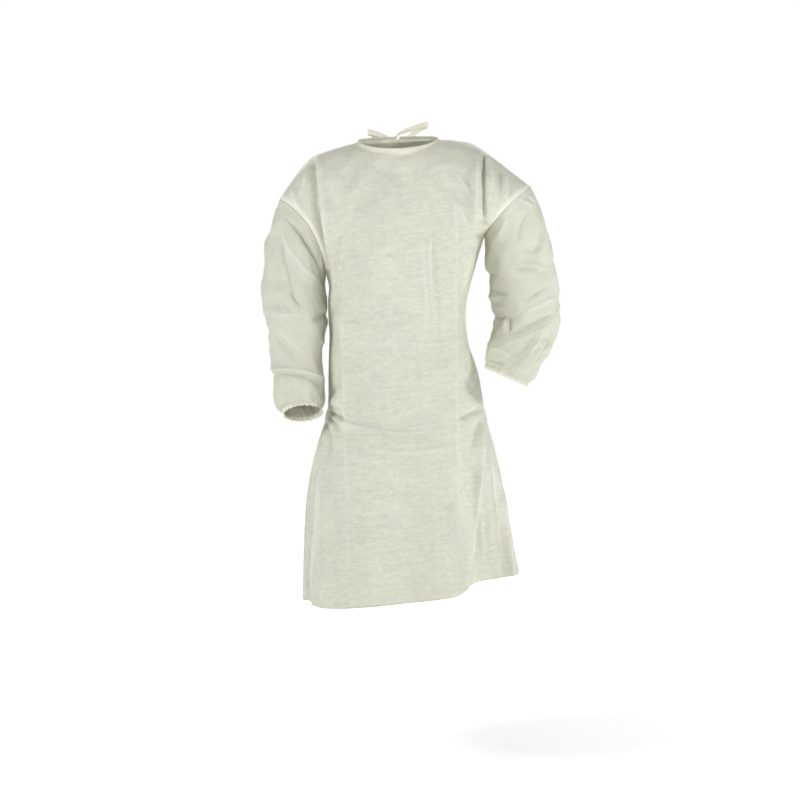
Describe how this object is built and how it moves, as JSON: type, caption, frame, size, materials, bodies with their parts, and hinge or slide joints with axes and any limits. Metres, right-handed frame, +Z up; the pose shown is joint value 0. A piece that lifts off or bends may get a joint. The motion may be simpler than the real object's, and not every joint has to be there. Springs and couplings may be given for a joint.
{
  "type": "isolation gown",
  "caption": "Worn pale-yellow nonwoven isolation gown, long sleeves with elastic cuffs, tied at the nape and waist, one arm hanging, the other hand at the hip.",
  "frame": {"origin": "between the shoulders at the height of the neck side points, from which the worn gown hangs", "axes": "+Z up, -Y the front of the gown, +X the wearer's left"},
  "size_m": [0.671, 0.3516, 1.0859],
  "materials": {
    "gown_cloth": "matt pale-yellow spunbond nonwoven",
    "binding_cloth": "matt cream nonwoven strip"
  },
  "bodies": {
    "root": {"front_panel": "gown_cloth", "back_panel_left": "gown_cloth", "back_panel_right": "gown_cloth", "sleeve_left": "gown_cloth", "sleeve_right": "gown_cloth", "cuff_elastic_left": "gown_cloth", "cuff_elastic_right": "gown_cloth", "neck_binding": "binding_cloth", "waist_tie_left": "gown_cloth", "waist_tie_right": "gown_cloth", "neck_tie_left": "binding_cloth", "neck_tie_right": "binding_cloth"}
  },
  "joints": []
}
